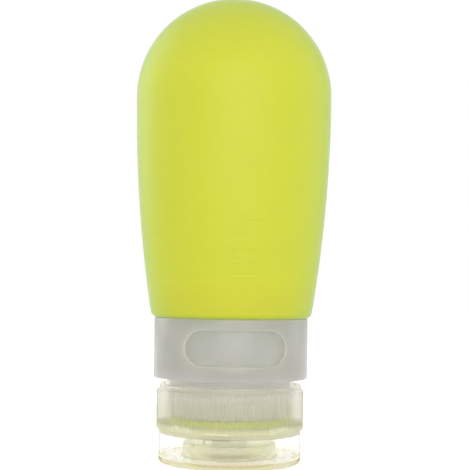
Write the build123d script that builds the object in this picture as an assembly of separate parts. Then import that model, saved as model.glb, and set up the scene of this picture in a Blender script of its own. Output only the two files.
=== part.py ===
from build123d import *
import math
import os

# A travel squeeze bottle that stands on its flip lid. Millimetres, +Z up. The origin is the
# centre of the lid's flat face. -Y is the side with the window.

# Levels, from the lid's flat face to the round end of the bulb
lid_height = 6.95
cap_height = 11.45
cap_gap = 1.45
collar_height = 14.15
bulb_length = 76.0

# Silicone bulb: a round end, a flank that draws in along one long arc, and a rounded foot
bulb_radius = 23.3
silicone_wall = 2.3
foot_overhang = 0.71
foot_rounding = 1.2
shoulder_rounding_share = 0.58

# Silicone neck and the lip that folds over the end of the rigid neck
mouth_radius = 10.8
neck_skin = 2.1
soft_clearance = 0.1
lip_inset = 0.2
lip_thickness = 1.8
lip_rounding = 0.5

# Rigid neck: the sleeve that the cap screws on to
neck_wall = 1.4
neck_flange_thickness = 1.4
neck_lead_in = 0.5

# Contents ring that turns behind the window
label_ring_gap = 0.87
label_ring_wall = 1.2
label_ring_clearance = 0.08
label_ring_end_play = 0.12

# Collar: the outer ring with the window
collar_wall = 1.7
collar_floor_thickness = 1.4
collar_edge_rounding = 0.35
window_width = 22.7
window_height = 7.9
window_offset = 0.475
window_edge_rounding = 0.3
snap_clearance = 0.05

# Screw cap
thread_room = 0.7
cap_wall = 1.7
cap_plate_thickness = 2.15
cap_edge_rounding = 0.4
cap_lead_in = 0.5
rib_count = 116
rib_height = 0.6
rib_tip_share = 0.4
grip_rise = 0.9
grip_drop = 1.2
boss_radius = 11.0
boss_height = 2.3
boss_wall = 1.5
boss_face_thickness = 1.6
boss_edge_rounding = 0.3
# How far short of the window the cap stops when it is screwed home, in degrees
cap_stop_angle = -13.8

# Outlet, slit valve and the ring that holds the valve
outlet_flare = 0.7
seat_clearance = 0.1
valve_flange_thickness = 1.0
valve_skin = 0.7
valve_dish = 0.9
slit_length_share = 0.72
slit_width = 0.14
retainer_width = 3.3
retainer_margin = 1.8
retainer_thickness = 1.6
retainer_bead = 0.2
retainer_play = 0.05

# Flip lid
lid_wall = 1.3
lid_floor_thickness = 1.8
lid_bottom_rounding = 1.1
lid_inner_rounding = 0.6
seal_ring_wall = 1.2
seal_ring_foot_rounding = 0.5
seal_ring_play = 0.05
pip_side_clearance = 0.3
pip_play = 0.05
tab_width = 5.8
tab_rise = 1.65
tab_thickness = 0.8
tab_root_drop = 1.0

# Hinge between the cap and the lid
barrel_radius = 1.5
barrel_clearance = 0.1
knuckle_width = 8.0
ear_width = 2.5
ear_side_clearance = 0.15
pin_radius = 0.7
pin_clearance = 0.05

# Every cut runs past its faces by this much
overrun = 1.0

# Levels that follow from the lengths above
cap_foot = lid_height
cap_rim = cap_foot + cap_height
collar_foot = cap_rim + cap_gap
collar_top = collar_foot + collar_height
bulb_top = collar_top + bulb_length
dome_level = bulb_top - bulb_radius
lip_foot = cap_foot + cap_plate_thickness
neck_end = lip_foot + lip_thickness
boss_face = cap_foot - boss_height
seat_level = boss_face + boss_face_thickness
nose_level = boss_face + outlet_flare
collar_floor_top = collar_foot + collar_floor_thickness
neck_flange_foot = collar_top - neck_flange_thickness
window_level = (collar_floor_top + neck_flange_foot) / 2 + window_offset

# Radii that follow, from the mouth outwards
neck_bore_radius = mouth_radius + neck_skin + soft_clearance
neck_radius = neck_bore_radius + neck_wall
lip_radius = neck_radius - lip_inset
collar_bore_radius = neck_radius + label_ring_gap + label_ring_wall + label_ring_clearance
collar_radius = collar_bore_radius + collar_wall
foot_radius = collar_radius + foot_overhang
cap_bore_radius = neck_radius + thread_room
cap_radius = cap_bore_radius + cap_wall
grip_radius = cap_radius + rib_height
seat_radius = boss_radius - boss_wall
retainer_bore_radius = seat_radius - retainer_width
outlet_radius = retainer_bore_radius - retainer_margin

# The flank's arc leaves the dome upright and reaches the foot's radius at the collar
flank_drop = dome_level - collar_top
flank_draw = bulb_radius - foot_radius
flank_radius = (flank_drop * flank_drop + flank_draw * flank_draw) / (flank_draw + flank_draw)

# The hinge runs along X, behind the grip, in the plane where cap and lid part
hinge_y = grip_radius + barrel_radius + barrel_clearance
hinge_z = lid_height


def turned(outline, roundings=()):
    """A solid of revolution about Z. outline holds (radius, level) corners, and roundings holds
    (corner, radius) pairs."""
    face = Plane.XZ * make_face(Polyline(*outline, close=True))
    return revolve(rounded(face, roundings), Axis.Z)


def rounded(face, roundings):
    """The same face with each named corner rounded to its radius."""
    for (radius, level), rounding in roundings:
        place = Vector(radius, 0, level)
        corner = min(face.vertices(), key=lambda vertex: (vertex.center() - place).length)
        face = fillet(corner, rounding)
    return face


def tube(outer, inner, low, high):
    """A plain ring between two radii and two levels."""
    return turned([(inner, low), (outer, low), (outer, high), (inner, high)])


def bar_along_x(radius, half_length, y, z):
    """A round bar along X, centred on X = 0."""
    bar = Cylinder(radius, half_length + half_length)
    return Pos(0, y, z) * Rot(0, 90, 0) * bar


def block(low, high):
    """A box between two corners."""
    size = [top - bottom for bottom, top in zip(low, high)]
    centre = [(top + bottom) / 2 for bottom, top in zip(low, high)]
    return Pos(*centre) * Box(*size)


def flank_at(level, inset):
    """The flank's radius at a level, inset from the outer skin."""
    drop = dome_level - level
    arc = flank_radius - inset
    return bulb_radius - flank_radius + math.sqrt(arc * arc - drop * drop)


def skin(inset, foot_level):
    """The bulb's skin from the pole to the flank's foot, as edges in the XZ plane."""
    dome = CenterArc((0, dome_level), bulb_radius - inset, 0, 90)
    sweep = -math.degrees(math.asin((dome_level - foot_level) / (flank_radius - inset)))
    flank = CenterArc((bulb_radius - flank_radius, dome_level), flank_radius - inset, 0, sweep)
    return [dome, flank]


def squeeze_body():
    """The silicone bulb, its neck and the lip that folds over the end of the rigid neck."""
    inner_foot = collar_top + silicone_wall
    neck_outer = mouth_radius + neck_skin
    outer_foot = (flank_at(collar_top, 0), collar_top)
    inner_shoulder = (flank_at(inner_foot, silicone_wall), inner_foot)
    shoulder_rounding = (inner_shoulder[0] - mouth_radius) * shoulder_rounding_share
    neck_side = [
        outer_foot,
        (neck_outer, collar_top),
        (neck_outer, neck_end),
        (lip_radius, neck_end),
        (lip_radius, lip_foot),
        (mouth_radius, lip_foot),
        (mouth_radius, inner_foot),
        inner_shoulder,
    ]
    pole = Line((0, bulb_top - silicone_wall), (0, bulb_top))
    edges = skin(0, collar_top) + skin(silicone_wall, inner_foot) + [Polyline(*neck_side), pole]
    roundings = [
        (outer_foot, foot_rounding),
        (inner_shoulder, shoulder_rounding),
        ((mouth_radius, inner_foot), silicone_wall / 2),
        ((lip_radius, neck_end), lip_rounding),
        ((lip_radius, lip_foot), lip_rounding),
    ]
    face = Plane.XZ * make_face(edges)
    return revolve(rounded(face, roundings), Axis.Z)


def threaded_neck():
    """The rigid sleeve round the silicone neck, with the flange that the bulb sits on."""
    flange_radius = collar_bore_radius - snap_clearance
    outline = [
        (neck_bore_radius, neck_end),
        (neck_radius, neck_end),
        (neck_radius, neck_flange_foot),
        (flange_radius, neck_flange_foot),
        (flange_radius, collar_top),
        (neck_bore_radius, collar_top),
    ]
    return turned(outline, [((neck_radius, neck_end), neck_lead_in)])


def collar():
    """The outer ring: an open drum with a floor that snaps on to the neck, and one window."""
    outline = [
        (neck_radius + snap_clearance, collar_foot),
        (collar_radius, collar_foot),
        (collar_radius, collar_top),
        (collar_bore_radius, collar_top),
        (collar_bore_radius, collar_floor_top),
        (neck_radius + snap_clearance, collar_floor_top),
    ]
    roundings = [
        ((collar_radius, collar_foot), collar_edge_rounding),
        ((collar_radius, collar_top), collar_edge_rounding),
    ]
    drum = turned(outline, roundings)
    opening = Plane.XZ * SlotOverall(window_width, window_height)
    cutter = Pos(0, 0, window_level) * extrude(opening, collar_radius + overrun)
    pierced = drum - cutter
    outer_face = collar_radius - collar_wall / 4
    rim = [edge for edge in new_edges(drum, cutter, combined=pierced) if reach(edge) > outer_face]
    return fillet(rim, window_edge_rounding)


def reach(edge):
    """How far the middle of an edge lies from the Z axis."""
    middle = edge @ 0.5
    return math.hypot(middle.X, middle.Y)


def label_ring():
    """The ring behind the window, free to turn between the collar's floor and the neck flange."""
    outer = collar_bore_radius - label_ring_clearance
    low = collar_floor_top + label_ring_end_play
    high = neck_flange_foot - label_ring_end_play
    return tube(outer, outer - label_ring_wall, low, high)


def grip_band(low, high):
    """The ribbed band round the cap. Each rib has a flat tip, with a V groove to the next."""
    pitch = 360 / rib_count
    tip = pitch * rib_tip_share
    corners = []
    for rib in range(rib_count):
        start = rib * pitch
        groove = start + (tip + pitch) / 2
        for angle, radius in ((start, grip_radius), (start + tip, grip_radius), (groove, cap_radius)):
            turn = math.radians(angle)
            corners.append((radius * math.cos(turn), radius * math.sin(turn)))
    section = make_face(Polyline(*corners, close=True))
    return Pos(0, 0, low) * extrude(section, high - low)


def cap_shell():
    """The cap's turned form: wall, end plate and boss, with the thread bore and the valve seat."""
    blank = turned(
        [
            (0, boss_face),
            (boss_radius, boss_face),
            (boss_radius, cap_foot),
            (cap_radius, cap_foot),
            (cap_radius, cap_rim),
            (0, cap_rim),
        ],
        [
            ((boss_radius, boss_face), boss_edge_rounding),
            ((cap_radius, cap_rim), cap_edge_rounding),
        ],
    )
    blank = blank + grip_band(cap_foot + grip_rise, cap_rim - grip_drop)
    thread_bore = turned(
        [
            (0, lip_foot),
            (cap_bore_radius, lip_foot),
            (cap_bore_radius, cap_rim - cap_lead_in),
            (cap_bore_radius + cap_lead_in, cap_rim),
            (cap_bore_radius + cap_lead_in, cap_rim + overrun),
            (0, cap_rim + overrun),
        ]
    )
    groove_level = seat_level + valve_flange_thickness + retainer_play + retainer_thickness / 2
    seat = turned(
        [
            (0, seat_level),
            (seat_radius, seat_level),
            (seat_radius, groove_level - retainer_bead),
            (seat_radius + retainer_bead, groove_level),
            (seat_radius, groove_level + retainer_bead),
            (seat_radius, lip_foot + overrun),
            (0, lip_foot + overrun),
        ]
    )
    outlet = turned(
        [
            (0, boss_face - overrun),
            (outlet_radius + outlet_flare + overrun, boss_face - overrun),
            (outlet_radius, boss_face + outlet_flare),
            (outlet_radius, seat_level + overrun),
            (0, seat_level + overrun),
        ]
    )
    return blank - thread_bore - seat - outlet


def screw_cap():
    """The cap with the two ears that hold the lid's pins."""
    inner_x = knuckle_width / 2 + ear_side_clearance
    outer_x = inner_x + ear_width
    ear_top = hinge_z + barrel_radius
    cap = cap_shell()
    for side in (-1, 1):
        middle = side * (inner_x + outer_x) / 2
        barrel = Pos(middle, 0, 0) * bar_along_x(barrel_radius, ear_width / 2, hinge_y, hinge_z)
        low_x, high_x = sorted((side * inner_x, side * outer_x))
        root = block((low_x, cap_bore_radius, cap_foot), (high_x, hinge_y, ear_top))
        cap = cap + barrel + root
    bore = bar_along_x(pin_radius + pin_clearance, outer_x + overrun, hinge_y, hinge_z)
    return Rot(0, 0, cap_stop_angle) * (cap - bore)


def no_drip_valve():
    """A silicone disc with a flange in the seat and a dished skin, slit crosswise, in the outlet."""
    flange_radius = seat_radius - seat_clearance
    flange_top = seat_level + valve_flange_thickness
    nose_radius = outlet_radius - seat_clearance
    dish_radius = nose_radius - valve_skin
    crown = nose_level + valve_dish
    outer_side = Polyline(
        (dish_radius, nose_level),
        (nose_radius, nose_level),
        (nose_radius, seat_level),
        (flange_radius, seat_level),
        (flange_radius, flange_top),
        (dish_radius, flange_top),
        (dish_radius, nose_level + valve_skin),
    )
    outer_dish = TangentArc((0, crown), (dish_radius, nose_level), tangent=(1, 0))
    inner_dish = TangentArc((0, crown + valve_skin), (dish_radius, nose_level + valve_skin), tangent=(1, 0))
    axis = Line((0, crown), (0, crown + valve_skin))
    face = Plane.XZ * make_face([outer_side, outer_dish, inner_dish, axis])
    valve = revolve(face, Axis.Z)
    slit_length = (dish_radius + dish_radius) * slit_length_share
    slit_height = valve_dish + valve_skin + valve_skin
    slit = Box(slit_length, slit_width, slit_height, align=(Align.CENTER, Align.CENTER, Align.MIN))
    slit = Pos(0, 0, nose_level) * slit
    return Rot(0, 0, cap_stop_angle) * (valve - slit - Rot(0, 0, 90) * slit)


def valve_retainer():
    """The ring that snaps in above the valve's flange."""
    low = seat_level + valve_flange_thickness + retainer_play
    high = low + retainer_thickness
    middle = (low + high) / 2
    outer = seat_radius - seat_clearance
    return turned(
        [
            (retainer_bore_radius, low),
            (outer, low),
            (outer, middle - retainer_bead),
            (outer + retainer_bead, middle),
            (outer, middle + retainer_bead),
            (outer, high),
            (retainer_bore_radius, high),
        ]
    )


def lid_shell():
    """The clear lid: a flat floor, a thin wall, the ring that seals on the boss and the valve's pip."""
    lid_radius = cap_radius
    wall_inner = lid_radius - lid_wall
    seal_top = boss_face - seal_ring_play
    pip_radius = outlet_radius - pip_side_clearance
    pip_top = nose_level - pip_play
    return turned(
        [
            (0, 0),
            (lid_radius, 0),
            (lid_radius, lid_height),
            (wall_inner, lid_height),
            (wall_inner, lid_floor_thickness),
            (boss_radius, lid_floor_thickness),
            (boss_radius, seal_top),
            (boss_radius - seal_ring_wall, seal_top),
            (boss_radius - seal_ring_wall, lid_floor_thickness),
            (pip_radius, lid_floor_thickness),
            (pip_radius, pip_top),
            (0, pip_top),
        ],
        [
            ((lid_radius, 0), lid_bottom_rounding),
            ((wall_inner, lid_floor_thickness), lid_inner_rounding),
            ((boss_radius, lid_floor_thickness), seal_ring_foot_rounding),
        ],
    )


def thumb_tab():
    """The tab at the front of the lid that stands up in front of the cap's grip."""
    inner = grip_radius + barrel_clearance
    outer = inner + tab_thickness
    top = lid_height + tab_rise
    outline = [
        (cap_radius - lid_wall / 2, lid_height - tab_root_drop),
        (cap_radius, lid_height - tab_root_drop),
        (outer, lid_height - tab_thickness),
        (outer, top),
        (inner, top),
        (inner, lid_height),
        (cap_radius - lid_wall / 2, lid_height),
    ]
    ring = turned(outline)
    slot = block((-tab_width / 2, -outer - overrun, 0), (tab_width / 2, 0, top + overrun))
    return ring & slot


def flip_lid():
    """The lid with its thumb tab, hinge knuckle and pins."""
    half_knuckle = knuckle_width / 2
    wall_middle = cap_radius - lid_wall / 2
    barrel = bar_along_x(barrel_radius, half_knuckle, hinge_y, hinge_z)
    root = block(
        (-half_knuckle, wall_middle - lid_wall / 4, hinge_z - barrel_radius),
        (half_knuckle, hinge_y, hinge_z - barrel_clearance),
    )
    pin_reach = half_knuckle + ear_side_clearance + ear_width
    pins = bar_along_x(pin_radius, pin_reach, hinge_y, hinge_z)
    lid = lid_shell() + thumb_tab() + barrel + root + pins
    return Rot(0, 0, cap_stop_angle) * lid


pieces = {
    "squeeze_body": squeeze_body,
    "threaded_neck": threaded_neck,
    "collar": collar,
    "label_ring": label_ring,
    "screw_cap": screw_cap,
    "no_drip_valve": no_drip_valve,
    "valve_retainer": valve_retainer,
    "flip_lid": flip_lid,
}

os.makedirs("parts", exist_ok=True)
for name, make in pieces.items():
    export_step(make(), f"parts/{name}.step")
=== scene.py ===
import math

import bmesh
import bpy
from mathutils import Matrix, Vector


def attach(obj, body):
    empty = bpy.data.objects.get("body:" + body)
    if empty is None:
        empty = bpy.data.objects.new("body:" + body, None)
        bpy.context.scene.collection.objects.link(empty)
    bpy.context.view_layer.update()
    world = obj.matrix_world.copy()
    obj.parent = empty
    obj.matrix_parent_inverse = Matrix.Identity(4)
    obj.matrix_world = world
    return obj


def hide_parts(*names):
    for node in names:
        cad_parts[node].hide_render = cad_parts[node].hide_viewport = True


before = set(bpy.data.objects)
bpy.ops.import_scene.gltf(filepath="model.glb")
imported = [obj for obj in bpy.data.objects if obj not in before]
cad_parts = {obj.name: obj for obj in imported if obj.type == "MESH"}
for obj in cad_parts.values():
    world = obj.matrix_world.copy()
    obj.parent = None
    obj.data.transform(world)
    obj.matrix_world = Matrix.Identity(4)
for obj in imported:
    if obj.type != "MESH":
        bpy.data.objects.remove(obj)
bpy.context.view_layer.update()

# Every shape is drawn in millimetres and brought to metres when its piece is finished.
MM = 0.001
SEGMENTS = 160
FULL_TURN = 2 * math.pi
FRONT = -math.pi / 2

# The room left between pieces that fit into each other
PLAY = 0.05

# Bulb, neck and lip
BULB_RADIUS = 23.3
SILICONE_WALL = 2.3
DOME_LEVEL = 86.7
BULB_TOP = DOME_LEVEL + BULB_RADIUS
FOOT_RADIUS = 18.96
FOOT_ROUNDING = 1.2
MOUTH_RADIUS = 10.8
LIP_RADIUS = 14.2
LIP_FOOT = 9.1
LIP_ROUNDING = 0.5
MOUTH_ROUNDING = 1.1
INNER_FOOT_ROUNDING = 3.4
INNER_FLANK_REST = 5.0
NECK_END = 10.9
NECK_SKIN_RADIUS = 12.9

# Plain level marks on the bulb, as (level, width)
TICKS = ((43.6, 8.0), (46.8, 5.0), (50.0, 8.0), (53.2, 5.0), (56.4, 8.0))
TICK_RISE = 0.12
TICK_ROOT = 0.5
TICK_HALF_HEIGHT = 0.26
TICK_ROUNDING = 0.11
WINDOW_TURN = math.radians(2.7)

# Rigid neck and collar
NECK_BORE = 13.0
NECK_RADIUS = 14.4
NECK_ROUNDING = 0.5
FLANGE_FOOT = 32.6
FLANGE_RADIUS = 16.5
COLLAR_FOOT = 19.85
COLLAR_TOP = 34.0
COLLAR_RADIUS = 18.25
COLLAR_BORE = 16.55
COLLAR_FLOOR = 1.4
COLLAR_ROUNDING = 0.35
WINDOW_LEVEL = 27.4
WINDOW_WIDTH = 22.7
WINDOW_HEIGHT = 7.9
WINDOW_ROUNDING = 0.4
WINDOW_CUT_START = 4.0
WINDOW_OVERRUN = 3.0
# Depths below the collar's face at which the window's cutter has a ring, from inside to outside
WINDOW_DEPTHS = (8.0, WINDOW_ROUNDING, 0.26, 0.15, 0.07, 0.02, 0.0, -2.0)
RING_RADIUS = 16.47
RING_FOOT = 21.37
RING_TOP = 32.48
RING_WALL = 1.2

# Thread between neck and cap
THREAD_LEAD = 4.2
THREAD_STEPS = 96
THREAD_START = 12.6
RIDGE_ROOT = 0.08
NECK_RIDGE_RISE = 0.5
NECK_RIDGE_WIDTH = 1.3
NECK_RIDGE_TURNS = 1.1
CAP_RIDGE_RISE = 0.45
CAP_RIDGE_WIDTH = 1.2
CAP_RIDGE_TURNS = 0.75
RIDGE_FADE_SHARE = 0.09
LEAST_RIDGE_SHARE = 0.05

# Cap
CAP_FOOT = 6.95
CAP_RIM = 18.4
CAP_RADIUS = 16.8
CAP_BORE = 15.1
RIB_COUNT = 116
GRIP_RISE = 0.6
RIB_DEPTH = 0.14
STEPS_PER_RIB = 6
GRIP_FOOT = 7.85
GRIP_TOP = 17.2
GRIP_EDGE = 0.12
GRIP_SHOULDER = 0.35
CAP_CHAMFER = 0.5
BOSS_RADIUS = 11.0
BOSS_FACE = 4.65
SEAT_RADIUS = 9.5
SEAT_LEVEL = 6.25
OUTLET_RADIUS = 4.4
OUTLET_FLARE = 0.7
VALVE_FLANGE = 1.0
RETAINER_HEIGHT = 1.6
RETAINER_BORE = 6.2
SNAP = 0.2
SIDE_PLAY = 0.1
STOP_ANGLE = math.radians(-13.8)

# Points nearer than this, in metres, are one point
MERGE_LENGTH = 1e-6

# Hinge and lid
HINGE_Y = 19.0
HINGE_Z = 6.95
BARREL_RADIUS = 1.5
PIN_RADIUS = 0.7
EAR_INNER = 4.15
EAR_OUTER = 6.65
EAR_BORE_HALF_LENGTH = 8.0
KNUCKLE_HALF_WIDTH = 4.0
WEB_INNER = 15.9
WEB_DROP = 0.1
LID_RADIUS = 16.8
LID_WALL = 1.3
LID_FLOOR = 1.8
PIP_RADIUS = 4.1
PIP_TOP = 5.3
SEAL_TOP = 4.6
SEAL_WALL = 1.2
TAB_HALF_WIDTH = 2.9
TAB_MIDDLE = 17.9
TAB_ROUNDING = 0.2
# The tab's top edge, where a bright line shows: it is made opaque and cream there, a painted highlight
TAB_GLINT_FOOT = 8.15
TAB_GLINT_TOP = 8.3

# The table lies this far under the lid's face
TABLE_GAP = 0.02
TABLE_HALF_WIDTH = 2000.0


def outline(mesh, corners, roundings=(), closed=True):
    """Draws an outline of (radius, level) corners and rounds the numbered ones."""
    points = [mesh.verts.new((radius, 0, level)) for radius, level in corners]
    following = points[1:] + (points[:1] if closed else [])
    for point, after in zip(points, following):
        mesh.edges.new((point, after))
    for number, rounding, steps in roundings:
        round_corner(mesh, points[number], rounding, steps)
    return points


def round_corner(mesh, point, rounding, steps):
    """Rounds one corner of an outline."""
    bmesh.ops.bevel(
        mesh, geom=[point], offset=rounding, offset_type="OFFSET", segments=steps,
        profile=0.5, affect="VERTICES", material=-1,
    )


def turn_round(mesh, steps=SEGMENTS):
    """Turns the outline once round the bottle's axis."""
    bmesh.ops.spin(
        mesh, geom=mesh.verts[:] + mesh.edges[:], cent=(0, 0, 0), axis=(0, 0, 1),
        angle=FULL_TURN, steps=steps, use_merge=True,
    )
    close_up(mesh)


def close_up(mesh):
    """Merges the seams and poles and turns every face outwards."""
    bmesh.ops.remove_doubles(mesh, verts=mesh.verts, dist=1e-4)
    bmesh.ops.recalc_face_normals(mesh, faces=mesh.faces)


def as_object(name, mesh):
    """Makes an object of a mesh drawn in millimetres."""
    close_up(mesh)
    bmesh.ops.scale(mesh, vec=(MM, MM, MM), verts=mesh.verts)
    data = bpy.data.meshes.new(name)
    mesh.to_mesh(data)
    mesh.free()
    made = bpy.data.objects.new(name, data)
    bpy.context.collection.objects.link(made)
    return made


def combine(base, tools, operation, merge=True):
    """Adds the tools to the base or cuts them from it, and leaves one plain mesh."""
    for tool in tools:
        modifier = base.modifiers.new(operation.lower(), "BOOLEAN")
        modifier.operation = operation
        modifier.solver = "EXACT"
        modifier.object = tool
    graph = bpy.context.evaluated_depsgraph_get()
    result = bpy.data.meshes.new_from_object(base.evaluated_get(graph))
    base.modifiers.clear()
    if merge:
        mesh = bmesh.new()
        mesh.from_mesh(result)
        bmesh.ops.remove_doubles(mesh, verts=mesh.verts, dist=MERGE_LENGTH)
        bmesh.ops.dissolve_degenerate(mesh, edges=mesh.edges, dist=MERGE_LENGTH)
        mesh.to_mesh(result)
        mesh.free()
    base.data = result
    for tool in tools:
        bpy.data.objects.remove(tool)
    return base


def finish_piece(piece, body, material, nodes=(), crease=34):
    """Shades a piece, gives it its finish and fixes it to its body."""
    piece.data.shade_smooth()
    piece.data.set_sharp_from_angle(angle=math.radians(crease))
    piece.data.materials.clear()
    piece.data.materials.append(material)
    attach(piece, body)
    if nodes:
        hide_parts(*nodes)
    return piece


def last_point(turned):
    """The point at which a spin ends."""
    return [part for part in turned["geom_last"] if isinstance(part, bmesh.types.BMVert)][0]


def flank_radius():
    """The radius of the long arc in which the flank draws in to the foot."""
    drop = DOME_LEVEL - COLLAR_TOP
    draw = BULB_RADIUS - FOOT_RADIUS
    return (drop * drop + draw * draw) / (2 * draw)


def bulb_side(mesh, inset, last_level):
    """Draws one skin of the bulb from its pole down, and returns its last point."""
    centre = Vector((0, 0, DOME_LEVEL))
    pole = mesh.verts.new((0, 0, BULB_TOP - inset))
    dome = bmesh.ops.spin(
        mesh, geom=[pole], cent=centre, axis=(0, 1, 0), angle=math.pi / 2, steps=28,
    )
    arc = flank_radius()
    sweep = math.asin((DOME_LEVEL - last_level) / (arc - inset))
    flank = bmesh.ops.spin(
        mesh, geom=[last_point(dome)], cent=(BULB_RADIUS - arc, 0, DOME_LEVEL), axis=(0, 1, 0),
        angle=sweep, steps=30,
    )
    return last_point(flank)


def make_bulb():
    """The silicone bulb in one skin with its neck and the lip that folds over the rigid neck."""
    mesh = bmesh.new()
    inner_foot = COLLAR_TOP + SILICONE_WALL
    arc = flank_radius()
    drop = DOME_LEVEL - inner_foot
    inner_shoulder = BULB_RADIUS - arc + math.sqrt((arc - SILICONE_WALL) ** 2 - drop * drop)
    outer_end = bulb_side(mesh, 0, COLLAR_TOP + 1.5 * FOOT_ROUNDING)
    inner_end = bulb_side(mesh, SILICONE_WALL, inner_foot + INNER_FLANK_REST)
    corners = [
        (FOOT_RADIUS, COLLAR_TOP),
        (NECK_SKIN_RADIUS, COLLAR_TOP),
        (NECK_SKIN_RADIUS, NECK_END),
        (LIP_RADIUS, NECK_END),
        (LIP_RADIUS, LIP_FOOT),
        (MOUTH_RADIUS, LIP_FOOT),
        (MOUTH_RADIUS, inner_foot),
        (inner_shoulder, inner_foot),
    ]
    points = outline(mesh, corners, closed=False)
    mesh.edges.new((outer_end, points[0]))
    mesh.edges.new((inner_end, points[-1]))
    roundings = (
        (0, FOOT_ROUNDING, 8), (3, LIP_ROUNDING, 5), (4, LIP_ROUNDING, 5), (6, MOUTH_ROUNDING, 6),
        (7, INNER_FOOT_ROUNDING, 12),
    )
    for number, rounding, steps in roundings:
        round_corner(mesh, points[number], rounding, steps)
    turn_round(mesh)
    bulb = as_object("bulb_skin", mesh)
    ticks = [tick(level, width) for level, width in TICKS]
    return combine(bulb, ticks, "UNION")


def tick(level, width):
    """A plain level mark: a low raised bar round the front of the bulb."""
    mesh = bmesh.new()
    arc = flank_radius()
    radius = BULB_RADIUS - arc + math.sqrt(arc * arc - (DOME_LEVEL - level) ** 2)
    root, face_radius = radius - TICK_ROOT, radius + TICK_RISE
    low, high = level - TICK_HALF_HEIGHT, level + TICK_HALF_HEIGHT
    corners = [(root, low), (face_radius, low), (face_radius, high), (root, high)]
    outline(mesh, corners, ((1, TICK_ROUNDING, 3), (2, TICK_ROUNDING, 3)))
    span = width / radius
    start = FRONT + WINDOW_TURN - span / 2
    bmesh.ops.rotate(mesh, cent=(0, 0, 0), matrix=Matrix.Rotation(start, 3, "Z"), verts=mesh.verts)
    face = bmesh.ops.contextual_create(mesh, geom=mesh.edges[:])["faces"]
    bmesh.ops.spin(
        mesh, geom=face + mesh.edges[:] + mesh.verts[:], cent=(0, 0, 0), axis=(0, 0, 1),
        angle=span, steps=16,
    )
    return as_object("tick", mesh)


def ridge(base, tip, first_level, turns, width):
    """A thread ridge that climbs round the axis and sinks into the wall at both ends."""
    mesh = bmesh.new()
    steps = int(THREAD_STEPS * turns)
    section = [(base, first_level - width / 2), (tip, first_level - width / 4),
               (tip, first_level + width / 4), (base, first_level + width / 2)]
    points = outline(mesh, section)
    face = bmesh.ops.contextual_create(mesh, geom=mesh.edges[:])["faces"]
    climb = THREAD_LEAD / THREAD_STEPS
    bmesh.ops.spin(
        mesh, geom=face + mesh.edges[:] + points, cent=(0, 0, 0), axis=(0, 0, 1),
        angle=FULL_TURN * steps / THREAD_STEPS, steps=steps, dvec=(0, 0, climb),
    )
    last_level = first_level + steps * climb
    for point in mesh.verts:
        radius = math.hypot(point.co.x, point.co.y)
        along = min(point.co.z - first_level, last_level - point.co.z) / (THREAD_LEAD * RIDGE_FADE_SHARE)
        height = max(LEAST_RIDGE_SHARE, min(1.0, along + LEAST_RIDGE_SHARE))
        wanted = base + (radius - base) * height
        point.co.x *= wanted / radius
        point.co.y *= wanted / radius
    return as_object("thread_ridge", mesh)


def make_neck():
    """The rigid neck with its flange and thread."""
    mesh = bmesh.new()
    corners = [(NECK_BORE, NECK_END), (NECK_RADIUS, NECK_END), (NECK_RADIUS, FLANGE_FOOT),
               (FLANGE_RADIUS, FLANGE_FOOT), (FLANGE_RADIUS, COLLAR_TOP), (NECK_BORE, COLLAR_TOP)]
    outline(mesh, corners, ((1, NECK_ROUNDING, 3),))
    turn_round(mesh)
    thread = ridge(
        NECK_RADIUS - RIDGE_ROOT, NECK_RADIUS + NECK_RIDGE_RISE, THREAD_START, NECK_RIDGE_TURNS,
        NECK_RIDGE_WIDTH,
    )
    return combine(as_object("neck_sleeve", mesh), [thread], "UNION")


def make_window_cutter():
    """A slot-shaped cutter whose mouth flares where it meets the collar's outside."""
    mesh = bmesh.new()
    half_height = WINDOW_HEIGHT / 2
    reach = WINDOW_WIDTH / 2 - half_height
    ring = bmesh.ops.create_circle(mesh, segments=64, radius=half_height, cap_ends=False)["verts"]
    bmesh.ops.rotate(mesh, cent=(0, 0, 0), matrix=Matrix.Rotation(math.pi / 2, 3, "X"), verts=ring)
    for point in ring:
        point.co.x += math.copysign(reach, point.co.x) if abs(point.co.x) > 1e-4 else 0
    bmesh.ops.subdivide_edges(
        mesh, edges=[edge for edge in mesh.edges if edge.calc_length() > 1], cuts=40,
    )
    edges = mesh.edges[:]
    rings = [mesh.verts[:]]
    for _ in WINDOW_DEPTHS[1:]:
        extruded = bmesh.ops.extrude_edge_only(mesh, edges=edges)["geom"]
        new_edges = [part for part in extruded if isinstance(part, bmesh.types.BMEdge)
                     and all(vert in extruded for vert in part.verts)]
        edges = [edge for edge in new_edges if len(edge.link_faces) == 1]
        rings.append([part for part in extruded if isinstance(part, bmesh.types.BMVert)])
    return mesh, rings


def flare(depth):
    """How far the cutter's mouth opens at a depth below the collar's outer face."""
    if depth >= WINDOW_ROUNDING:
        return 0.0
    rest = WINDOW_ROUNDING - max(0.0, depth)
    return WINDOW_ROUNDING - math.sqrt(WINDOW_ROUNDING * WINDOW_ROUNDING - rest ** 2)


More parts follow.
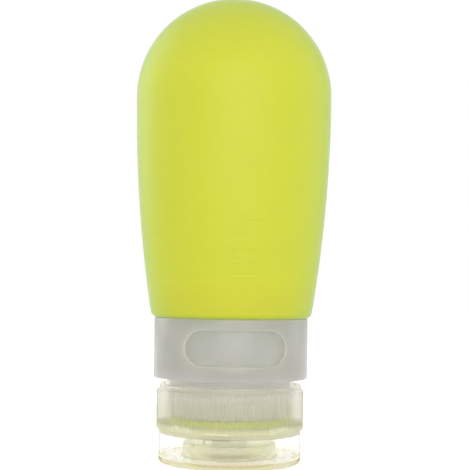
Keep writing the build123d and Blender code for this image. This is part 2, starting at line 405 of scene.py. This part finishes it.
def make_collar():
    """The outer ring with its floor, and the window with a softened edge."""
    mesh = bmesh.new()
    floor_top = COLLAR_FOOT + COLLAR_FLOOR
    corners = [(NECK_RADIUS + PLAY, COLLAR_FOOT), (COLLAR_RADIUS, COLLAR_FOOT),
               (COLLAR_RADIUS, COLLAR_TOP), (COLLAR_BORE, COLLAR_TOP), (COLLAR_BORE, floor_top),
               (NECK_RADIUS + PLAY, floor_top)]
    outline(mesh, corners, ((1, COLLAR_ROUNDING, 4), (2, COLLAR_ROUNDING, 4)))
    turn_round(mesh, 240)
    drum = as_object("window_collar", mesh)
    cutter, rings = make_window_cutter()
    half_run = (WINDOW_WIDTH - WINDOW_HEIGHT) / 2
    for depth, ring in zip(WINDOW_DEPTHS, rings):
        opening = flare(depth)
        for point in ring:
            x, z = point.co.x, point.co.z
            run = max(-half_run, min(half_run, x))
            away = Vector((x - run, 0, z)).normalized() * opening
            outer = math.sqrt(COLLAR_RADIUS ** 2 - (x + away.x) ** 2)
            point.co = Vector((x, 0, z)) + away + Vector((0, depth - outer, WINDOW_LEVEL))
    for point in rings[0]:
        point.co.y = -WINDOW_CUT_START
    for point in rings[-1]:
        point.co.y = -COLLAR_RADIUS - WINDOW_OVERRUN
    bmesh.ops.holes_fill(cutter, edges=cutter.edges, sides=0)
    tool = as_object("window_cutter", cutter)
    return combine(drum, [tool], "DIFFERENCE")


def make_contents_ring():
    """The ring behind the window, left blank, with its edges softened."""
    mesh = bmesh.new()
    inner = RING_RADIUS - RING_WALL
    corners = [(inner, RING_FOOT), (RING_RADIUS, RING_FOOT), (RING_RADIUS, RING_TOP), (inner, RING_TOP)]
    outline(mesh, corners, ((0, 0.15, 2), (1, 0.2, 3), (2, 0.2, 3), (3, 0.15, 2)))
    turn_round(mesh)
    return as_object("contents_band", mesh)


def rib_shape(share):
    """The height of the grip at a share of one rib's pitch, from 0 in a groove to 1 on a rib."""
    return max(0.0, min(1.0, 0.55 + 0.75 * math.cos(FULL_TURN * (share - 0.2))))


def thicken(mesh, first_x, last_x):
    """Fills an outline that is drawn from the side and extrudes it along the hinge's line."""
    face = bmesh.ops.contextual_create(mesh, geom=mesh.edges[:])["faces"]
    moved = bmesh.ops.extrude_face_region(mesh, geom=face)["geom"]
    far_points = [part for part in moved if isinstance(part, bmesh.types.BMVert)]
    bmesh.ops.translate(mesh, vec=(last_x - first_x, 0, 0), verts=far_points)
    bmesh.ops.translate(mesh, vec=(first_x, 0, 0), verts=mesh.verts)
    bmesh.ops.recalc_face_normals(mesh, faces=mesh.faces)


def barrel_arc(mesh, start):
    """Three quarters of a turn round the hinge's pin."""
    return bmesh.ops.spin(
        mesh, geom=[start], cent=(0, HINGE_Y, HINGE_Z), axis=(1, 0, 0), angle=math.pi * 1.5, steps=36,
    )


def ear(inner_x, outer_x):
    """One of the cap's two hinge ears, drawn from the side and extruded."""
    mesh = bmesh.new()
    start = mesh.verts.new((0, HINGE_Y - BARREL_RADIUS, HINGE_Z))
    end = last_point(barrel_arc(mesh, start))
    inner_top = mesh.verts.new((0, CAP_BORE, HINGE_Z + BARREL_RADIUS))
    inner_foot = mesh.verts.new((0, CAP_BORE, HINGE_Z))
    for first, second in ((end, inner_top), (inner_top, inner_foot), (inner_foot, start)):
        mesh.edges.new((first, second))
    thicken(mesh, inner_x, outer_x)
    return as_object("ear", mesh)


def bar_along_x(radius, half_length):
    """A round bar on the hinge's line, with softened ends."""
    mesh = bmesh.new()
    bmesh.ops.create_cone(mesh, cap_ends=True, segments=40, radius1=radius, radius2=radius,
                          depth=2 * half_length)
    bmesh.ops.rotate(mesh, cent=(0, 0, 0), matrix=Matrix.Rotation(math.pi / 2, 3, "Y"), verts=mesh.verts)
    bmesh.ops.translate(mesh, vec=(0, HINGE_Y, HINGE_Z), verts=mesh.verts)
    return as_object("bar", mesh)


def make_cap():
    """The screw cap: knurled wall, plate, boss with outlet and valve seat, thread and hinge ears."""
    mesh = bmesh.new()
    groove = SEAT_LEVEL + VALVE_FLANGE + PLAY + RETAINER_HEIGHT / 2
    corners = [
        (OUTLET_RADIUS, SEAT_LEVEL),
        (OUTLET_RADIUS, BOSS_FACE + OUTLET_FLARE),
        (OUTLET_RADIUS + OUTLET_FLARE, BOSS_FACE),
        (BOSS_RADIUS, BOSS_FACE),
        (BOSS_RADIUS, CAP_FOOT),
        (CAP_RADIUS, CAP_FOOT),
        (CAP_RADIUS, GRIP_FOOT),
        (CAP_RADIUS, GRIP_FOOT + GRIP_EDGE),
        (CAP_RADIUS, GRIP_FOOT + GRIP_SHOULDER),
        (CAP_RADIUS, GRIP_TOP - GRIP_SHOULDER),
        (CAP_RADIUS, GRIP_TOP - GRIP_EDGE),
        (CAP_RADIUS, GRIP_TOP),
        (CAP_RADIUS, CAP_RIM),
        (CAP_BORE + CAP_CHAMFER, CAP_RIM),
        (CAP_BORE, CAP_RIM - CAP_CHAMFER),
        (CAP_BORE, LIP_FOOT),
        (SEAT_RADIUS, LIP_FOOT),
        (SEAT_RADIUS, groove + SNAP),
        (SEAT_RADIUS + SNAP, groove),
        (SEAT_RADIUS, groove - SNAP),
        (SEAT_RADIUS, SEAT_LEVEL),
    ]
    roundings = ((3, 0.3, 4), (4, 0.35, 4), (5, 0.25, 3), (12, 0.4, 4), (15, 0.4, 3))
    outline(mesh, corners, roundings)
    turn_round(mesh, RIB_COUNT * STEPS_PER_RIB)
    for point in mesh.verts:
        radius = math.hypot(point.co.x, point.co.y)
        if abs(radius - CAP_RADIUS) < 1e-3 and GRIP_FOOT < point.co.z < GRIP_TOP:
            share = math.atan2(point.co.y, point.co.x) / FULL_TURN * RIB_COUNT % 1.0
            end = min(point.co.z - GRIP_FOOT, GRIP_TOP - point.co.z)
            full = 1.0 if end > 0.2 else 0.7
            grown = CAP_RADIUS + (GRIP_RISE - RIB_DEPTH + RIB_DEPTH * rib_shape(share)) * full
            point.co.x *= grown / radius
            point.co.y *= grown / radius
    cap = as_object("knurled_cap", mesh)
    thread = ridge(
        CAP_BORE + RIDGE_ROOT, CAP_BORE - CAP_RIDGE_RISE, THREAD_START + THREAD_LEAD / 2, CAP_RIDGE_TURNS,
        CAP_RIDGE_WIDTH,
    )
    combine(cap, [ear(-EAR_OUTER, -EAR_INNER), ear(EAR_INNER, EAR_OUTER), thread], "UNION")
    combine(cap, [bar_along_x(PIN_RADIUS + PLAY, EAR_BORE_HALF_LENGTH)], "DIFFERENCE")
    cap.data.transform(Matrix.Rotation(STOP_ANGLE, 4, "Z"))
    return cap


def make_valve():
    """The silicone valve: a flange, a collar and a dished skin with a cross slit."""
    mesh = bmesh.new()
    flange_top = SEAT_LEVEL + VALVE_FLANGE
    flange_radius = SEAT_RADIUS - SIDE_PLAY
    nose_radius = OUTLET_RADIUS - SIDE_PLAY
    nose = BOSS_FACE + OUTLET_FLARE
    skirt, dish_depth, upper_rise = 0.7, 0.9, 1.6
    dish = nose_radius - skirt
    arc_radius = (dish * dish + dish_depth * dish_depth) / (2 * dish_depth)
    angle = math.asin(dish / arc_radius)
    ends = []
    for rise in (dish_depth, upper_rise):
        middle = mesh.verts.new((0, 0, nose + rise))
        arc = bmesh.ops.spin(mesh, geom=[middle], cent=(0, 0, nose + rise - arc_radius), axis=(0, 1, 0),
                             angle=angle, steps=14)
        ends.append(last_point(arc))
    low_end, high_end = ends
    corners = [(nose_radius, nose), (nose_radius, SEAT_LEVEL), (flange_radius, SEAT_LEVEL),
               (flange_radius, flange_top), (dish, flange_top)]
    points = outline(mesh, corners, closed=False)
    mesh.edges.new((low_end, points[0]))
    mesh.edges.new((high_end, points[-1]))
    for number in (2, 3):
        round_corner(mesh, points[number], 0.2, 3)
    turn_round(mesh, 96)
    valve = as_object("slit_valve", mesh)
    slit_length_share, slit_width, slit_height = 0.72, 0.14, 3.0
    slits = []
    for turn in (0, math.pi / 2):
        cut = bmesh.new()
        bmesh.ops.create_cube(cut, size=1)
        size = (2 * dish * slit_length_share, slit_width, slit_height)
        bmesh.ops.scale(cut, vec=size, verts=cut.verts)
        bmesh.ops.rotate(cut, cent=(0, 0, 0), matrix=Matrix.Rotation(turn + STOP_ANGLE, 3, "Z"),
                         verts=cut.verts)
        bmesh.ops.translate(cut, vec=(0, 0, nose + dish_depth), verts=cut.verts)
        slits.append(as_object("slit", cut))
    return combine(valve, slits, "DIFFERENCE", merge=False)


def make_retainer():
    """The snap ring that holds the valve's flange in its seat."""
    mesh = bmesh.new()
    low = SEAT_LEVEL + VALVE_FLANGE + PLAY
    high = low + RETAINER_HEIGHT
    middle = (low + high) / 2
    outer = SEAT_RADIUS - SIDE_PLAY
    corners = [(RETAINER_BORE, low), (outer, low), (outer, middle - SNAP), (outer + SNAP, middle),
               (outer, middle + SNAP), (outer, high), (RETAINER_BORE, high)]
    outline(mesh, corners, ((0, 0.2, 3), (5, 0.2, 3), (6, 0.35, 4)))
    turn_round(mesh, 128)
    return as_object("valve_ring", mesh)


def knuckle():
    """The lid's hinge knuckle and its web, drawn from the side and extruded."""
    mesh = bmesh.new()
    start = mesh.verts.new((0, HINGE_Y, HINGE_Z - BARREL_RADIUS))
    end = last_point(barrel_arc(mesh, start))
    web_top = HINGE_Z - WEB_DROP
    web = [(HINGE_Y - BARREL_RADIUS, web_top), (WEB_INNER, web_top),
           (WEB_INNER, HINGE_Z - BARREL_RADIUS)]
    points = [mesh.verts.new((0, y, z)) for y, z in web]
    chain = [end] + points + [start]
    for first, second in zip(chain, chain[1:]):
        mesh.edges.new((first, second))
    thicken(mesh, -KNUCKLE_HALF_WIDTH, KNUCKLE_HALF_WIDTH)
    return as_object("knuckle", mesh)


def thumb_tab():
    """The tab at the front of the lid that stands up in front of the grip."""
    mesh = bmesh.new()
    corners = [(16.1, 5.95), (16.8, 5.95), (18.3, 6.15), (18.3, 8.6), (17.5, 8.6), (17.5, 6.95), (16.1, 6.95)]
    outline(mesh, corners, ((3, 0.25, 3), (4, 0.25, 3)))
    span = 2 * math.asin(TAB_HALF_WIDTH / TAB_MIDDLE)
    start = Matrix.Rotation(FRONT - span / 2, 3, "Z")
    bmesh.ops.rotate(mesh, cent=(0, 0, 0), matrix=start, verts=mesh.verts)
    face = bmesh.ops.contextual_create(mesh, geom=mesh.edges[:])["faces"]
    bmesh.ops.spin(mesh, geom=face + mesh.edges[:] + mesh.verts[:], cent=(0, 0, 0), axis=(0, 0, 1),
                   angle=span, steps=12)
    close_up(mesh)
    sharp = [edge for edge in mesh.edges if edge.calc_face_angle(0) > 1.0]
    bmesh.ops.bevel(
        mesh, geom=sharp, offset=TAB_ROUNDING, segments=2, profile=0.5, affect="EDGES", material=-1,
    )
    return as_object("tab", mesh)


def make_lid():
    """The clear lid: floor, wall, seal ring, thumb tab, knuckle and pins in one moulding."""
    mesh = bmesh.new()
    corners = [
        (0, 0),
        (LID_RADIUS, 0),
        (LID_RADIUS, CAP_FOOT),
        (LID_RADIUS - LID_WALL, CAP_FOOT),
        (LID_RADIUS - LID_WALL, LID_FLOOR),
        (BOSS_RADIUS, LID_FLOOR),
        (BOSS_RADIUS, SEAL_TOP),
        (BOSS_RADIUS - SEAL_WALL, SEAL_TOP),
        (BOSS_RADIUS - SEAL_WALL, LID_FLOOR),
        (PIP_RADIUS, LID_FLOOR),
        (PIP_RADIUS, PIP_TOP),
        (0, PIP_TOP),
    ]
    roundings = (
        (1, 1.1, 8), (2, 0.15, 2), (3, 0.15, 2), (4, 0.6, 5), (5, 0.5, 4), (6, 0.2, 3), (7, 0.2, 3),
        (9, 0.4, 4), (10, 0.2, 3),
    )
    points = outline(mesh, corners, closed=False)
    for number, rounding, steps in roundings:
        round_corner(mesh, points[number], rounding, steps)
    turn_round(mesh, 192)
    lid = as_object("clear_lid", mesh)
    combine(lid, [thumb_tab(), knuckle(), bar_along_x(PIN_RADIUS, EAR_OUTER)], "UNION")
    lid.data.transform(Matrix.Rotation(STOP_ANGLE, 4, "Z"))
    return lid


class Finish:
    """A material's nodes, with Object coordinates at hand."""

    def __init__(self, name):
        self.material = bpy.data.materials.new(name)
        self.material.use_nodes = True
        self.tree = self.material.node_tree
        self.shader = self.tree.nodes["Principled BSDF"]
        self.place = self.tree.nodes.new("ShaderNodeTexCoord").outputs["Object"]

    def node(self, kind, **settings):
        """Adds a node and sets its settings, or else its sockets, by name."""
        made = self.tree.nodes.new(kind)
        for name, value in settings.items():
            if hasattr(made, name):
                setattr(made, name, value)
            else:
                made.inputs[name].default_value = value
        return made

    def link(self, source, target):
        self.tree.links.new(source, target)

    def set(self, **sockets):
        """Sets the shader's sockets, with underscores for the spaces in their names."""
        for name, value in sockets.items():
            self.shader.inputs[name.replace("_", " ")].default_value = value

    def noise(self, scale, detail):
        """A fine, even noise that stays on the piece."""
        made = self.node("ShaderNodeTexNoise")
        made.inputs["Scale"].default_value = scale
        made.inputs["Detail"].default_value = detail
        self.link(self.place, made.inputs["Vector"])
        return made.outputs["Fac"]

    def ramp(self, source, *stops):
        """A colour ramp whose stops are (position, colour), or (position, grey value)."""
        stops = [(place, value if isinstance(value, tuple) else (value,) * 3) for place, value in stops]
        made = self.node("ShaderNodeValToRGB")
        elements = made.color_ramp.elements
        elements[0].position, elements[0].color = stops[0][0], (*stops[0][1], 1)
        elements[1].position, elements[1].color = stops[-1][0], (*stops[-1][1], 1)
        for position, color in stops[1:-1]:
            elements.new(position).color = (*color, 1)
        self.link(source, made.inputs["Fac"])
        return made.outputs["Color"]

    def span(self, source, low, high, new_low, new_high):
        """Brings one range of values to another."""
        made = self.node("ShaderNodeMapRange")
        for name, value in (("From Min", low), ("From Max", high), ("To Min", new_low), ("To Max", new_high)):
            made.inputs[name].default_value = value
        self.link(source, made.inputs["Value"])
        return made.outputs["Result"]

    def bump(self, source, strength, distance):
        """Makes the skin slightly uneven."""
        made = self.node("ShaderNodeBump")
        made.inputs["Strength"].default_value = strength
        made.inputs["Distance"].default_value = distance
        self.link(source, made.inputs["Height"])
        self.link(made.outputs["Normal"], self.shader.inputs["Normal"])

    def feed(self, socket, value):
        """Links a socket, or sets a plain value."""
        if isinstance(value, bpy.types.NodeSocket):
            self.link(value, socket)
        else:
            socket.default_value = value

    def vector_math(self, operation, first, second):
        """The outputs of one sum on two vectors or colours."""
        made = self.node("ShaderNodeVectorMath", operation=operation)
        self.feed(made.inputs[0], first)
        self.feed(made.inputs[1], second)
        return made.outputs

    def by_level(self, *stops):
        """A value or a colour that changes with the height, in millimetres, over the lid's face."""
        place = self.node("ShaderNodeSeparateXYZ")
        self.link(self.place, place.inputs[0])
        return self.along(place.outputs["Z"], stops)

    def by_radius(self, *stops):
        """A value or a colour that changes with the distance from the bottle's axis."""
        flat = self.vector_math("MULTIPLY", self.place, (1, 1, 0))["Vector"]
        return self.along(self.vector_math("LENGTH", flat, (0, 0, 0))["Value"], stops)

    def along(self, source, stops):
        """A ramp along a length, whose stops are (millimetres, value)."""
        last = stops[-1][0]
        share = self.span(source, 0.0, last * MM, 0.0, 1.0)
        return self.ramp(share, *((place / last, value) for place, value in stops))

    def times(self, first, second):
        """Two values or colours multiplied."""
        return self.vector_math("MULTIPLY", first, second)["Vector"]

    def let_light_through(self, tint, share=0.0):
        """Lets lamps and sky light what is behind a clear wall, and a share of the view go straight."""
        path = self.node("ShaderNodeLightPath")
        clear = self.node("ShaderNodeBsdfTransparent")
        self.feed(clear.inputs["Color"], tint)
        mix = self.node("ShaderNodeMixShader")
        both = self.node("ShaderNodeMath", operation="MAXIMUM")
        least = self.node("ShaderNodeMath", operation="MAXIMUM")
        self.link(path.outputs["Is Shadow Ray"], both.inputs[0])
        self.link(path.outputs["Is Diffuse Ray"], both.inputs[1])
        self.link(both.outputs[0], least.inputs[0])
        self.feed(least.inputs[1], share)
        self.link(least.outputs[0], mix.inputs["Fac"])
        self.link(self.shader.outputs[0], mix.inputs[1])
        self.link(clear.outputs[0], mix.inputs[2])
        self.link(mix.outputs[0], self.tree.nodes["Material Output"].inputs["Surface"])


def silicone_finish():
    """Lime silicone: satin, light passes through it, with a fine matt skin."""
    finish = Finish("lime_silicone")
    finish.set(Subsurface_Weight=1.0, Subsurface_Scale=0.006, IOR=1.41)
    finish.set(Coat_Weight=1.0, Coat_IOR=1.04, Coat_Roughness=0.5, Coat_Tint=(0.885, 0.97, 0.92, 1))
    finish.set(Sheen_Weight=0.55, Sheen_Roughness=0.28, Sheen_Tint=(1, 1, 1, 1))
    finish.shader.inputs["Subsurface Radius"].default_value = (1.0, 0.9, 0.25)
    tone = finish.ramp(finish.noise(90, 3), (0.3, (0.99, 0.79, 0.047)), (0.7, (1.0, 0.80, 0.054)))
    # Darker and greener toward the foot at the collar and toward the dome's top: painted shade by height.
    depth = finish.by_level(
        (34.0, (0.70, 0.85, 0.95)), (42.0, (0.99, 1.0, 1.0)), (90.0, (0.99, 1.0, 1.0)),
        (108.0, (0.83, 0.94, 1.2)),
    )
    tone = finish.times(tone, depth)
    finish.link(tone, finish.shader.inputs["Base Color"])
    finish.link(finish.span(finish.noise(400, 3), 0.3, 0.7, 0.40, 0.50), finish.shader.inputs["Roughness"])
    finish.bump(finish.noise(2600, 2), 0.25, 0.00005)
    return finish.material


def frosted_finish(name, low, high, clearness=0.0, straight=None, depth=None, reach=0.008):
    """Milky moulded plastic that light passes a little way into."""
    finish = Finish(name)
    finish.set(Subsurface_Weight=1.0, Subsurface_Scale=reach, IOR=1.45, Transmission_Weight=clearness)
    finish.shader.inputs["Subsurface Radius"].default_value = (1.0, 1.0, 0.9)
    tone = finish.ramp(finish.noise(120, 2), (0.3, low), (0.7, high))
    if depth:
        tone = finish.times(tone, finish.by_level(*depth))
    finish.link(tone, finish.shader.inputs["Base Color"])
    finish.link(finish.span(finish.noise(500, 2), 0.3, 0.7, 0.20, 0.26), finish.shader.inputs["Roughness"])
    finish.bump(finish.noise(1800, 2), 0.15, 0.00004)
    if straight is not None:
        finish.let_light_through((0.95, 0.95, 0.91, 1), straight)
    return finish.material


def natural_finish():
    """Undyed plastic: pale, and seen through softly."""
    finish = Finish("natural_plastic_skin")
    finish.set(Subsurface_Weight=1.0, Subsurface_Scale=0.006, IOR=1.13)
    clearness = finish.by_level((6.6, 0.3), (7.2, 0.08), (8.9, 0.08), (9.7, 0.6))
    finish.link(clearness, finish.shader.inputs["Transmission Weight"])
    finish.shader.inputs["Subsurface Radius"].default_value = (1.0, 1.0, 0.9)
    tone = finish.ramp(finish.noise(150, 2), (0.3, (0.975, 0.955, 0.885)), (0.7, (0.99, 0.975, 0.915)))
    # Tones by height, painted light and shade: the boss below 6.8 mm is lightened against the shade under the
    # cap's overhang, the flange darker and yellow, the band over the silicone lip greener, the grip greyer
    # and the rim lighter.
    depth = finish.by_level(
        (6.8, (1.0, 1.0, 0.88)), (7.2, (0.86, 0.84, 0.59)), (8.9, (0.82, 0.81, 0.58)),
        (10.0, (0.81, 0.84, 0.72)), (12.0, (0.77, 0.775, 0.69)), (13.4, (0.78, 0.78, 0.70)),
        (15.5, (0.83, 0.83, 0.81)), (17.2, (0.82, 0.82, 0.80)), (18.4, (0.97, 0.97, 0.96)),
    )
    tone = finish.times(tone, depth)
    finish.link(tone, finish.shader.inputs["Base Color"])
    finish.link(finish.span(finish.noise(600, 2), 0.3, 0.7, 0.38, 0.46), finish.shader.inputs["Roughness"])
    finish.bump(finish.noise(1500, 2), 0.15, 0.00004)
    straight = finish.by_level((6.8, 0.89), (7.1, 0.08), (8.9, 0.08), (9.7, 0.46))
    finish.let_light_through((0.99, 0.98, 0.945, 1), straight)
    return finish.material


def valve_finish():
    """Nearly clear silicone."""
    finish = Finish("clear_silicone_skin")
    finish.set(Transmission_Weight=0.2, Subsurface_Weight=1.0, Subsurface_Scale=0.004, IOR=1.3)
    tone = finish.ramp(finish.noise(200, 2), (0.3, (0.93, 0.93, 0.88)), (0.7, (0.97, 0.97, 0.93)))
    finish.link(tone, finish.shader.inputs["Base Color"])
    finish.link(finish.span(finish.noise(700, 2), 0.3, 0.7, 0.30, 0.40), finish.shader.inputs["Roughness"])
    finish.let_light_through((0.99, 0.99, 0.95, 1), 0.96)
    return finish.material


def clear_finish():
    """Clear moulded plastic with the faint straw tint that a long path through it shows."""
    finish = Finish("clear_plastic_skin")
    finish.set(IOR=1.20)
    # The tab's top edge turns opaque and cream: a painted highlight.
    clearness = finish.by_level((TAB_GLINT_FOOT, 1.0), (TAB_GLINT_TOP, 0.15))
    finish.link(clearness, finish.shader.inputs["Transmission Weight"])
    tone = finish.ramp(finish.noise(60, 2), (0.3, (0.985, 0.985, 0.97)), (0.7, (1.0, 1.0, 0.99)))
    plain, straw, painted_glint_cream = (1.0, 1.0, 1.0), (1.0, 0.985, 0.88), (0.95, 0.90, 0.60)
    straw_and_painted_glint = finish.by_level(
        (1.6, plain), (1.7, straw), (1.9, straw), (2.0, plain), (TAB_GLINT_FOOT, plain),
        (TAB_GLINT_TOP, painted_glint_cream),
    )
    finish.link(finish.times(tone, straw_and_painted_glint), finish.shader.inputs["Base Color"])
    finish.link(finish.span(finish.noise(300, 3), 0.35, 0.65, 0.02, 0.05), finish.shader.inputs["Roughness"])
    finish.bump(finish.noise(500, 2), 0.05, 0.00005)
    tint = finish.node("ShaderNodeVolumeAbsorption")
    tint.inputs["Color"].default_value = (0.86, 0.84, 0.5, 1)
    tint.inputs["Density"].default_value = 2
    finish.link(tint.outputs["Volume"], finish.tree.nodes["Material Output"].inputs["Volume"])
    clear_tint, foot_tint = (1.0, 1.0, 0.995), (0.75, 0.71, 0.50)
    floor_tint = finish.by_level((0.04, clear_tint), (0.12, foot_tint), (1.45, foot_tint), (1.6, clear_tint))
    ring_tint = (0.91, 0.92, 0.80)
    inner_tint = finish.by_radius(
        (4.6, clear_tint), (9.4, clear_tint), (9.7, ring_tint), (11.2, ring_tint), (11.6, clear_tint),
    )
    straight = finish.by_radius(
        (4.6, 0.95), (9.4, 0.8), (9.7, 0.5), (11.2, 0.5), (11.6, 0.8), (16.85, 0.8), (17.0, 0.96),
    )
    # The straight share drops at the floor's face and at the tab's top edge, where the painted highlight
    # shows.
    floor_and_glint_share = finish.by_level(
        (1.68, 1.0), (1.72, 0.1), (1.86, 0.1), (1.95, 1.0), (TAB_GLINT_FOOT, 1.0), (TAB_GLINT_TOP, 0.1),
    )
    straight = finish.times(straight, floor_and_glint_share)
    # Grey where the lid's outer wall is seen edge-on: painted shade along the outline.
    edge = finish.node("ShaderNodeLayerWeight").outputs["Facing"]
    painted_edge_shade = finish.ramp(edge, (0.74, (1.0, 1.0, 1.0)), (0.85, (0.80, 0.79, 0.77)))
    away_from_edge = finish.by_radius((16.4, 1.0), (16.6, 0.0), (16.9, 0.0), (17.05, 1.0))
    painted_edge_shade = finish.vector_math("MAXIMUM", painted_edge_shade, away_from_edge)["Vector"]
    face_tint = finish.vector_math(
        "MAXIMUM", finish.by_radius((10.5, (0.97, 0.925, 0.76)), (12.5, clear_tint)),
        finish.by_level((0.04, 0.0), (0.08, 1.0)),
    )["Vector"]
    tint = finish.times(finish.times(floor_tint, inner_tint), finish.times(painted_edge_shade, face_tint))
    finish.let_light_through(tint, straight)
    return finish.material


silicone = silicone_finish()
collar_depth = ((20.2, (1.0, 0.985, 1.0)), (22.4, (0.92, 0.92, 0.885)))
frosted = frosted_finish(
    "frosted_collar_skin", (0.50, 0.50, 0.48), (0.54, 0.54, 0.52), 0.08, 0.03, collar_depth, reach=0.004,
)
sleeve_skin = frosted_finish("neck_sleeve_skin", (0.74, 0.72, 0.60), (0.78, 0.76, 0.64))
ring_skin = frosted_finish("contents_ring_skin", (0.69, 0.695, 0.55), (0.73, 0.735, 0.59))
natural = natural_finish()
clear = clear_finish()

finish_piece(make_bulb(), "bottle", silicone, ["squeeze_body"])
finish_piece(make_neck(), "bottle", sleeve_skin, ["threaded_neck"])
finish_piece(make_collar(), "bottle", frosted, ["collar"])
finish_piece(make_contents_ring(), "contents_ring", ring_skin, ["label_ring"])
finish_piece(make_cap(), "cap", natural, ["screw_cap"])
finish_piece(make_valve(), "cap_carrier", valve_finish(), ["no_drip_valve"])
finish_piece(make_retainer(), "cap", natural, ["valve_retainer"])
finish_piece(make_lid(), "lid", clear, ["flip_lid"])


def background_rays(tree):
    """Is 1 for the rays that see the background: from the camera, a reflection or through glass."""
    path = tree.nodes.new("ShaderNodeLightPath")
    first = tree.nodes.new("ShaderNodeMath")
    first.operation = "MAXIMUM"
    second = tree.nodes.new("ShaderNodeMath")
    second.operation = "MAXIMUM"
    tree.links.new(path.outputs["Is Camera Ray"], first.inputs[0])
    tree.links.new(path.outputs["Is Glossy Ray"], first.inputs[1])
    tree.links.new(first.outputs[0], second.inputs[0])
    tree.links.new(path.outputs["Is Transmission Ray"], second.inputs[1])
    return second.outputs[0]


def make_world():
    """An even white studio, plain white where it is seen."""
    world = bpy.data.worlds.new("studio")
    bpy.context.scene.world = world
    world.use_nodes = True
    tree = world.node_tree
    light = tree.nodes["Background"]
    light.inputs["Color"].default_value = (1, 1, 1, 1)
    light.inputs["Strength"].default_value = 0.62
    seen = tree.nodes.new("ShaderNodeBackground")
    seen.inputs["Color"].default_value = (1, 1, 1, 1)
    seen.inputs["Strength"].default_value = 1.0
    mix = tree.nodes.new("ShaderNodeMixShader")
    tree.links.new(background_rays(tree), mix.inputs["Fac"])
    tree.links.new(light.outputs[0], mix.inputs[1])
    tree.links.new(seen.outputs[0], mix.inputs[2])
    tree.links.new(mix.outputs[0], tree.nodes["World Output"].inputs["Surface"])


def make_floor():
    """A white table that keeps the bottle's soft shadow."""
    mesh = bmesh.new()
    bmesh.ops.create_grid(mesh, x_segments=2, y_segments=2, size=TABLE_HALF_WIDTH)
    bmesh.ops.translate(mesh, vec=(0, 0, -TABLE_GAP), verts=mesh.verts)
    floor = as_object("table", mesh)
    material = bpy.data.materials.new("white_table")
    material.use_nodes = True
    tree = material.node_tree
    shader = tree.nodes["Principled BSDF"]
    shader.inputs["Base Color"].default_value = (0.9, 0.9, 0.9, 1)
    shader.inputs["Roughness"].default_value = 0.9
    shader.inputs["Specular IOR Level"].default_value = 0.0
    glow = tree.nodes.new("ShaderNodeEmission")
    glow.inputs["Color"].default_value = (1, 1, 1, 1)
    glow.inputs["Strength"].default_value = 0.58
    dark = tree.nodes.new("ShaderNodeEmission")
    dark.inputs["Strength"].default_value = 0.06
    seen = tree.nodes.new("ShaderNodeMixShader")
    tree.links.new(background_rays(tree), seen.inputs["Fac"])
    tree.links.new(dark.outputs[0], seen.inputs[1])
    tree.links.new(glow.outputs[0], seen.inputs[2])
    total = tree.nodes.new("ShaderNodeAddShader")
    tree.links.new(shader.outputs[0], total.inputs[0])
    tree.links.new(seen.outputs[0], total.inputs[1])
    tree.links.new(total.outputs[0], tree.nodes["Material Output"].inputs["Surface"])
    floor.data.materials.append(material)


def make_lamp(name, azimuth, elevation, distance, width, height, power):
    """A soft box that faces the bottle. Azimuth 0 is the window's side, and grows to the right."""
    data = bpy.data.lights.new(name, "AREA")
    data.shape = "RECTANGLE"
    data.size, data.size_y = width, height
    data.energy = power
    lamp = bpy.data.objects.new(name, data)
    flat = math.cos(math.radians(elevation)) * distance
    turn = math.radians(azimuth)
    target = Vector((0, 0, 0.055))
    lamp.location = target + Vector((
        flat * math.sin(turn), -flat * math.cos(turn), distance * math.sin(math.radians(elevation)),
    ))
    lamp.rotation_euler = (lamp.location - target).to_track_quat("Z", "Y").to_euler()
    bpy.context.collection.objects.link(lamp)


def make_camera():
    """The photograph's view: low, a little left of the window, tilted up and rolled a little."""
    data = bpy.data.cameras.new("camera")
    data.lens = 87.7
    data.sensor_width = 36.0
    camera = bpy.data.objects.new("camera", data)
    distance, side, height = 0.2735, math.radians(4.1), 0.041
    place = Matrix.Translation((-distance * math.sin(side), -distance * math.cos(side), height))
    pan = Matrix.Rotation(-side - math.radians(0.135), 4, "Z")
    tilt = Matrix.Rotation(math.radians(90 + 2.65), 4, "X")
    roll = Matrix.Rotation(math.radians(0.8), 4, "Z")
    camera.matrix_world = place @ pan @ tilt @ roll
    bpy.context.collection.objects.link(camera)
    bpy.context.scene.camera = camera


make_world()
make_floor()
make_lamp("front_box", 3, 7, 0.9, 0.88, 0.7, 4.0)
make_lamp("left_box", -126, 20, 0.7, 0.35, 0.5, 1.05)
make_lamp("right_box", 104, 8, 0.7, 0.35, 0.5, 0.42)
make_camera()
bpy.context.scene.view_settings.view_transform = "Standard"
